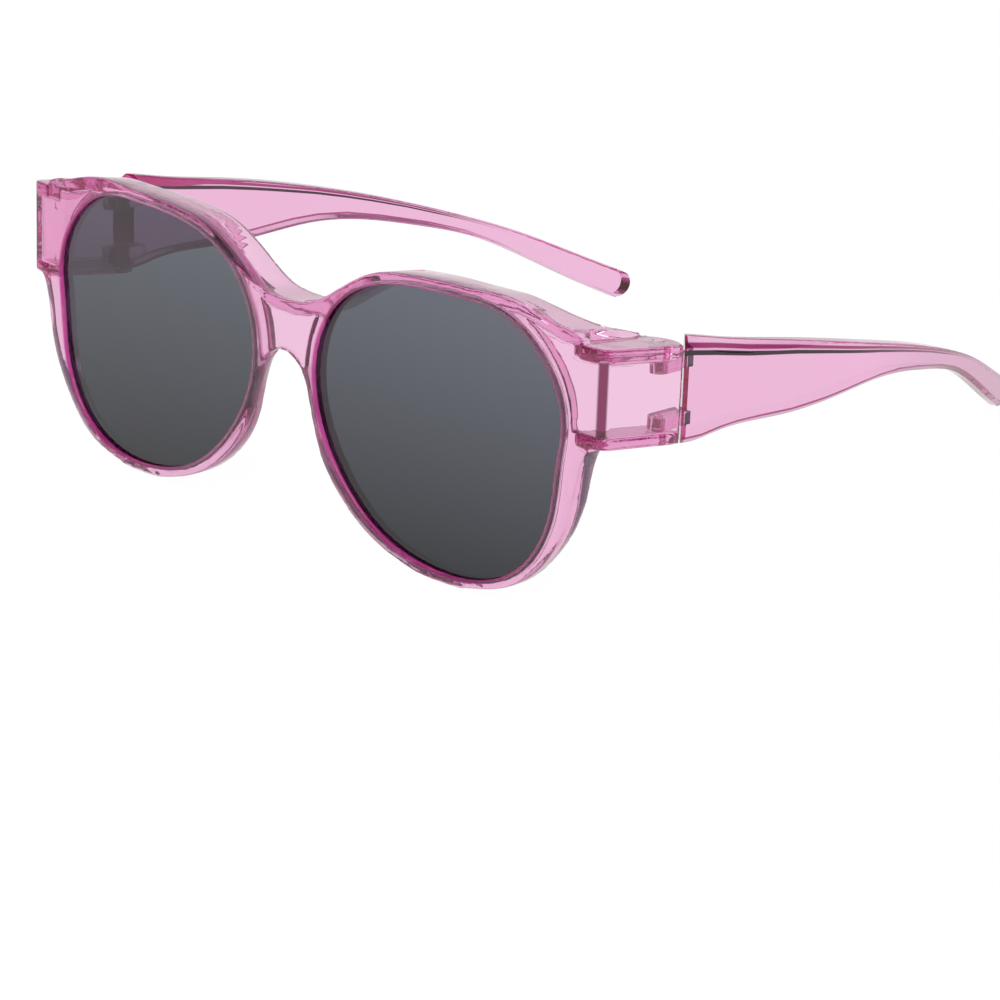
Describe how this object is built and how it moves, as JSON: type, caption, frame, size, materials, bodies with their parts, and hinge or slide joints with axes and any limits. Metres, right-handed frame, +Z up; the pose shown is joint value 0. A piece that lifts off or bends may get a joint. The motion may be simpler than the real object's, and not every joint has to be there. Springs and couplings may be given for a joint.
{
  "type": "fitover sunglasses",
  "caption": "Clear pink fitover sunglasses: one-piece front with a deep brow shelf and boxed endpieces, dark grey lenses, and wide tapering temples that fold.",
  "frame": {"origin": "middle of the footprint, on the level that the rims and the temple tips stand on", "axes": "the front faces -Y and the temples run towards +Y; +X is the wearer's left; +Z is up"},
  "size_m": [0.1534, 0.1478, 0.0549],
  "materials": {
    "pink_plastic": "clear tinted moulded plastic, polished",
    "grey_lens": "dark grey tinted lens, polished"
  },
  "bodies": {
    "front": {"front_frame": "pink_plastic", "lens_left": "grey_lens", "lens_right": "grey_lens", "hinge_pin_left_upper": "pink_plastic", "hinge_pin_left_lower": "pink_plastic", "hinge_pin_right_upper": "pink_plastic", "hinge_pin_right_lower": "pink_plastic"},
    "left_temple": {"temple_left": "pink_plastic"},
    "right_temple": {"temple_right": "pink_plastic"}
  },
  "joints": [
    {"name": "temple_left_fold", "type": "hinge", "parent": "front", "child": "left_temple", "pos_m": [0.07165, -0.05142, 0.03767], "axis": [0, 0.0554, 0.9985], "range_deg": [0, 84]},
    {"name": "temple_right_fold", "type": "hinge", "parent": "front", "child": "right_temple", "pos_m": [-0.07165, -0.05142, 0.03767], "axis": [0, -0.0554, -0.9985], "range_deg": [0, 79]}
  ]
}
